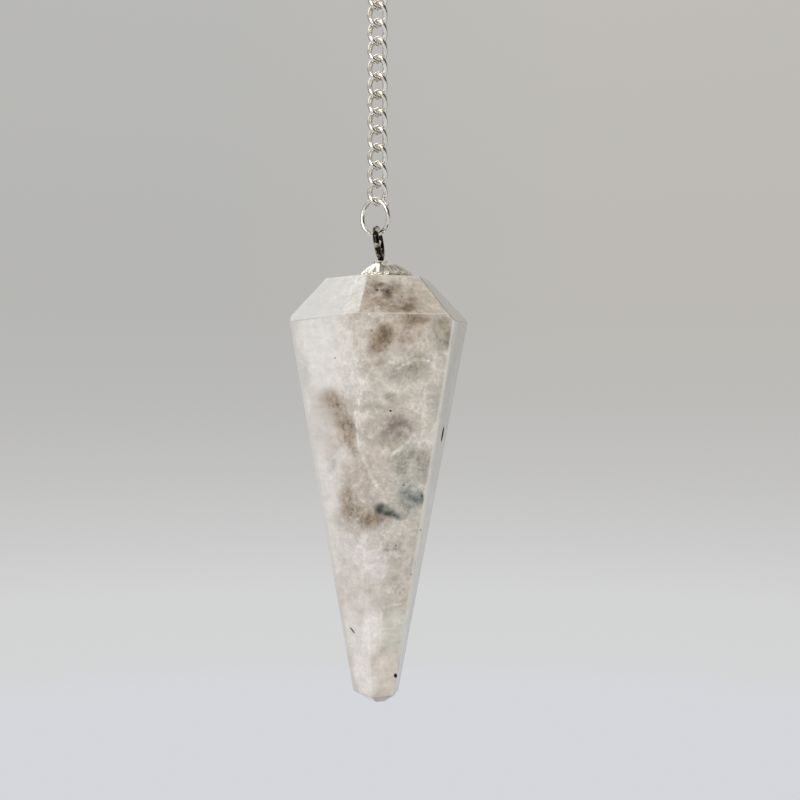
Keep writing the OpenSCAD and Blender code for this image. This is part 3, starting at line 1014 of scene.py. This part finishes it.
def paint_margin_light(g, point, slant, upward, cloud, smoke, tone):
    """Painted light: lighter margins where light gets through the corners, painted highlights along
    the front-right edge and the girdle, and the painted see-through look of the clear right side.
    """
    # Painted light: the stone is painted lighter just inside its back-left facets, where light gets
    # through.
    left = g.math(
        "MINIMUM", g.depth(point, body_planes[BACK_LEFT]), g.depth(point, crown_planes[BACK_LEFT]),
    )
    tone = g.mix(g.remap(left, 0.5, 0.3, 0.0, 0.55), tone, stone_tone(196, 195, 191))
    right = g.depth(point, body_planes[RIGHT])
    front = g.depth(point, body_planes[FRONT])
    # Painted highlight: a light line on the front facet along its edge with the right side.
    tone = g.mix(g.remap(right, 0.3, 0.16, 0.0, 0.7), tone, stone_tone(205, 201, 191))

    # Painted see-through look and reflection: the clear right side is painted grey, lighter by its
    # front edge.
    painted_clear = g.mix(g.remap(front, 0.1, 1.1), PAINTED_CLEAR_NEAR, PAINTED_CLEAR_FAR)
    painted_clear = g.mix(g.remap(g.noise(slant, 0.5, 2.0), 0.35, 0.7, 0.0, 0.5), painted_clear, PAINTED_CLEAR_STREAK)
    painted_clear = g.mix(g.remap(smoke, 0.52, 0.7, 0.0, 0.6), painted_clear, PAINTED_CLEAR_SMOKE)
    painted_clear = g.mix(g.remap(cloud, 0.5, 0.66, 0.0, 0.6), painted_clear, PAINTED_CLEAR_CLOUD)
    tone = g.mix(g.remap(right, 0.12, 0.04, 0.0, 0.6), tone, painted_clear)
    # Painted see-through look: darker towards the corner behind the right side.
    on_right = g.remap(right, 0.1, 0.04, 0.0, 0.45)
    behind = g.depth(point, body_planes[BACK_RIGHT])
    tone = g.mix(g.math("MULTIPLY", on_right, g.remap(behind, 0.6, 0.1)), tone, PAINTED_CLEAR_CORNER)
    # Painted light: the crown's right facet is painted dark grey, as it looks when seen edge-on.
    crown = g.depth(point, crown_planes[RIGHT])
    tone = g.mix(g.remap(crown, 0.1, 0.04, 0.0, 0.6), tone, PAINTED_CLEAR_CROWN)

    # Painted light: the tip is painted lighter, where light gets through it.
    tip = g.remap(upward, tip_z + 0.1, tip_z - 0.1, 0.0, 0.5)
    tone = g.mix(tip, tone, linear(232, 229, 220))
    # Painted highlight: a bright line along the girdle at the front.
    girdle = g.math("MAXIMUM", g.depth(point, crown_planes[FRONT]), front)
    return g.mix(g.remap(girdle, 0.07, 0.04, 0.0, 0.6), tone, linear(222, 209, 197))


def add_specks(g, point, tone):
    """Dark needles and dots inside the stone, and painted glints."""
    for x, y, half_width, half_height, lean, strength in SPECKS:
        factor = blob(g, point, x, y, half_width, half_height, lean, 0.4, strength, thick=4.0)
        tone = g.mix(factor, tone, linear(36, 33, 30))
    # Painted glints: bright points where flakes catch the light.
    for x, y, half_size in PAINTED_GLINTS:
        factor = blob(g, point, x, y, half_size, half_size, 0, 0.8, 0.8, thick=1.0)
        tone = g.mix(factor, tone, GLINT_WHITE)
    return tone


def make_moonstone():
    g = Graph("moonstone")
    point = g.place()
    bent = uneven(g, point)

    cloud = g.noise(bent, 0.16, 3.0, 0.6)
    tone = milky_ground(g, bent, cloud)
    smoke = g.noise(bent, 0.36, 4.0, 0.6)
    tone = g.mix(g.remap(smoke, 0.6, 0.78, 0.0, 0.6), tone, stone_tone(150, 137, 121))
    grain_size = 0.42
    shade = g.channel(g.cells(bent, grain_size, "Color"), 0)
    tone = g.mix(g.remap(shade, 0.5, 1.0, 0.0, 0.4), tone, stone_tone(178, 168, 155))
    skin = g.cells(bent, grain_size, "Distance", "DISTANCE_TO_EDGE")

    tone = add_patches(g, point, bent, tone)
    tone = add_veils(g, point, bent, tone)
    tone = add_streaks(g, bent, tone)
    tone = add_seams(g, point, bent, skin, tone)
    slant = g.add("ShaderNodeMapping", {
        "Vector": point, "Rotation": (0.0, math.radians(-38), 0.0), "Scale": (0.35, 0.8, 2.2),
    })
    tone = add_fibres(g, slant, tone)
    across = g.axis(point, 0)
    # Painted sheen on the crown's left facet
    tone = paint_left_crown_sheen(g, point, across, cloud, tone)

    # Creases and mottling are fainter on the left and near the tip
    upward = g.axis(point, 2)
    off_left = g.remap(across, -5.0, -2.0, 0.15, 1.0)
    rugged = g.math("MINIMUM", off_left, g.remap(upward, -70.0, -62.0, 0.4, 1.0))
    tone = add_creases(g, bent, rugged, tone)
    tone, mottle = add_mottling(g, point, rugged, tone)
    tone = add_grains(g, point, tone)
    # Painted light in the margins and on the clear right side
    tone = paint_margin_light(g, point, slant, upward, cloud, smoke, tone)
    tone = add_specks(g, point, tone)

    # The needle shines less than the polish round it
    needle = blob(g, point, *NEEDLE, 0.3, 1.0, thick=0.8)
    tone = g.mix(needle, tone, linear(20, 19, 17))
    rough = g.remap(g.noise(point, 0.8, 4.0, 0.6), 0.3, 0.75, 0.05, 0.14)
    rough = g.math("MAXIMUM", rough, g.math("MULTIPLY", needle, 0.9))
    height = g.math("ADD", g.noise(point, 0.35, 2.0), g.math("MULTIPLY", mottle, 0.06))
    return g.surface(
        Base_Color=tone,
        Roughness=rough,
        IOR=1.53,
        Normal=g.bump(height, 0.05),
        Coat_Weight=g.remap(needle, 0.0, 1.0, 0.5, 0.0),
        Coat_Roughness=0.03,
    )


moonstone = make_moonstone()

for obj in (end_ring, *links, jump_ring):
    obj.data.materials.append(silver)
eye.data.materials.append(steel)
cap.data.materials.append(bright)
stone.data.materials.append(moonstone)


# Stage: a round pale floor that turns up into a backdrop, in millimetres
FLOOR_Z = -216.0
FLOOR_HUB_R = 1.0
FLOOR_R = 250.0
WALL_R = 560.0
WALL_BEND = 60.0
WALL_TOP = 900.0

# Height on the backdrop, and its colour there on screen
BACKDROP = [
    (FLOOR_Z, (217, 218, 222)),
    (-210.0, (217, 218, 221)),
    (-203.0, (216, 216, 216)),
    (-165.0, (215, 215, 214)),
    (-135.0, (208, 207, 206)),
    (-94.0, (198, 197, 195)),
    (-52.0, (190, 189, 187)),
    (0.0, (186, 185, 182)),
    (60.0, (186, 185, 182)),
    (200.0, (189, 188, 185)),
]
COOL_TINT = (0.96, 0.965, 0.975, 1.0)
WARM_TINT = (1.03, 1.01, 0.985, 1.0)


def backdrop_paint():
    """Glowing paper that also lights the room, with painted shade that darkens it upwards; it turns
    warmer at the upper right.
    """
    g = Graph("sweep")
    point = g.place()
    height = g.axis(point, 2)
    low = BACKDROP[0][0]
    span = BACKDROP[-1][0] - low
    # Painted shade: the glow darkens upwards.
    factor = g.remap(height, low, low + span, smooth=False)
    ramp = g.tree.nodes.new("ShaderNodeValToRGB")
    g.tree.links.new(factor, ramp.inputs[0])
    stops = ramp.color_ramp.elements
    stops.remove(stops[1])
    for i, (z, colour) in enumerate(BACKDROP):
        share = (z - low) / span
        stop = stops[0] if i == 0 else stops.new(share)
        stop.position = share
        stop.color = linear(*colour)
    side = g.remap(g.axis(point, 0), -120.0, 120.0)
    upper = g.remap(height, -120.0, 20.0)
    tint = g.mix(g.math("MULTIPLY", side, upper), COOL_TINT, WARM_TINT)
    return g.glow(g.mix(1.0, ramp.outputs[0], tint, "MULTIPLY"))


def make_sweep():
    profile = [(FLOOR_HUB_R, FLOOR_Z), (FLOOR_R, FLOOR_Z), (WALL_R - WALL_BEND, FLOOR_Z)]
    bend_steps = 12
    for i in range(1, bend_steps + 1):
        a = math.pi / 2 * i / bend_steps
        out = WALL_R - WALL_BEND + WALL_BEND * math.sin(a)
        profile.append((out, FLOOR_Z + WALL_BEND * (1 - math.cos(a))))
    profile.append((WALL_R, WALL_TOP))
    sides = 128
    verts = []
    for radius, z in profile:
        verts += [Vector(p) * MM for p in level_circle(0.0, radius, z, sides)]
    mesh = bpy.data.meshes.new("sweep")
    mesh.from_pydata(verts, [], [tuple(range(sides))] + bands(len(profile), sides))
    mesh.shade_smooth()
    sweep = add_object("sweep", mesh)
    mesh.materials.append(backdrop_paint())


# Places that the lights and the cards face
STONE_MIDDLE = (0.0, 0.0, -60.0)
CHAIN_LOW = (0.0, 0.0, -30.0)

# Wide soft lights that the surfaces don't mirror: name, place, width, height, radiance, colour
FILLS = [
    ("fill_left", (-420, -60, 20), 400, 500, 0.9, (1.0, 0.995, 0.985)),
    ("fill_front", (80, -430, 40), 500, 500, 1.15, (1.0, 0.985, 0.97)),
    ("fill_top", (-60, -120, 480), 400, 400, 0.9, (1.0, 1.0, 1.0)),
]

WHITE = (2.6, 2.58, 2.5, 1.0)
PALE = (1.5, 1.5, 1.48, 1.0)
BLACK = (0.012, 0.011, 0.01, 1.0)
BEIGE = (0.42, 0.38, 0.31, 1.0)
BRIGHT = (14.0, 13.6, 12.6, 1.0)

# Cards that only show in reflections: name, degrees from the front round to the left, distance,
# height above the origin, width, tallness, colour
CARDS = [
    ("window", 34, 430, 110, 430, 340, WHITE),
    ("lamp", 24, 420, 260, 150, 120, BRIGHT),
    ("skylight", 124, 430, 400, 240, 260, PALE),
    ("bright_back", 162, 430, 330, 220, 240, WHITE),
    ("dark_top", 190, 160, 420, 200, 200, BLACK),
    ("dark_back_left", 150, 430, 40, 240, 300, BLACK),
    ("dark_front", -14, 440, 110, 200, 400, BLACK),
    ("dark_right", -62, 430, 110, 500, 400, BLACK),
    ("wall_right", -107, 430, 60, 160, 380, BEIGE),
    ("dark_edge", -132, 430, 60, 150, 380, BLACK),
]

# Dark disc under the drop
DISC_X = 20.0
DISC_R = 112.0
DISC_Z = -140.0
DISC_SIDES = 48


def aim(obj, place, target):
    obj.location = Vector(place) * MM
    sight = (Vector(target) - Vector(place)).normalized()
    obj.rotation_mode = "QUATERNION"
    obj.rotation_quaternion = sight.to_track_quat("-Z", "Y")


def fill_light(name, place, width, height, radiance, colour):
    light = bpy.data.lights.new(name, "AREA")
    light.shape = "RECTANGLE"
    light.size = width * MM
    light.size_y = height * MM
    light.energy = radiance * math.pi * width * height * MM * MM
    light.color = colour
    obj = add_object(name, light)
    aim(obj, place, STONE_MIDDLE)
    obj.visible_camera = False
    obj.visible_glossy = False


def reflected_shape(name, rim, colour):
    """A flat glowing shape that only shows in reflections."""
    mesh = bpy.data.meshes.new(name)
    mesh.from_pydata([Vector(p) * MM for p in rim], [], [tuple(range(len(rim)))])
    mesh.materials.append(Graph(name).glow(colour))
    obj = add_object(name, mesh)
    obj.visible_camera = False
    obj.visible_diffuse = False
    obj.visible_transmission = False
    obj.visible_shadow = False
    return obj


def card(name, azimuth, distance, height, width, tall, colour):
    w = width / 2
    h = tall / 2
    obj = reflected_shape(name, [(-w, -h, 0), (w, -h, 0), (w, h, 0), (-w, h, 0)], colour)
    a = math.radians(azimuth)
    aim(obj, (-distance * math.sin(a), -distance * math.cos(a), height), CHAIN_LOW)


def dark_disc():
    """It darkens the undersides of the wires."""
    rim = level_circle(DISC_X, DISC_R, DISC_Z, DISC_SIDES)
    disc = reflected_shape("dark_below", rim, BLACK)


def light_room():
    """A plain grey room round everything."""
    world = bpy.data.worlds.new("room")
    bpy.context.scene.world = world
    world.use_nodes = True
    background = world.node_tree.nodes["Background"]
    background.inputs["Color"].default_value = linear(186, 186, 184)
    background.inputs["Strength"].default_value = 1.0


def place_camera():
    lens = bpy.data.cameras.new("camera")
    lens.lens = FOCAL / PICTURE_SIZE * SENSOR_WIDTH
    lens.sensor_width = SENSOR_WIDTH
    lens.clip_start = 0.005
    lens.clip_end = 10
    camera = add_object("camera", lens)
    camera.location = EYE_POINT * MM
    camera.rotation_euler = (math.pi / 2, 0, 0)
    bpy.context.scene.camera = camera


make_sweep()
for fill in FILLS:
    fill_light(*fill)
dark_disc()
for row in CARDS:
    card(*row)
light_room()
place_camera()

bpy.context.scene.view_settings.view_transform = "Standard"
bpy.context.scene.view_settings.look = "None"
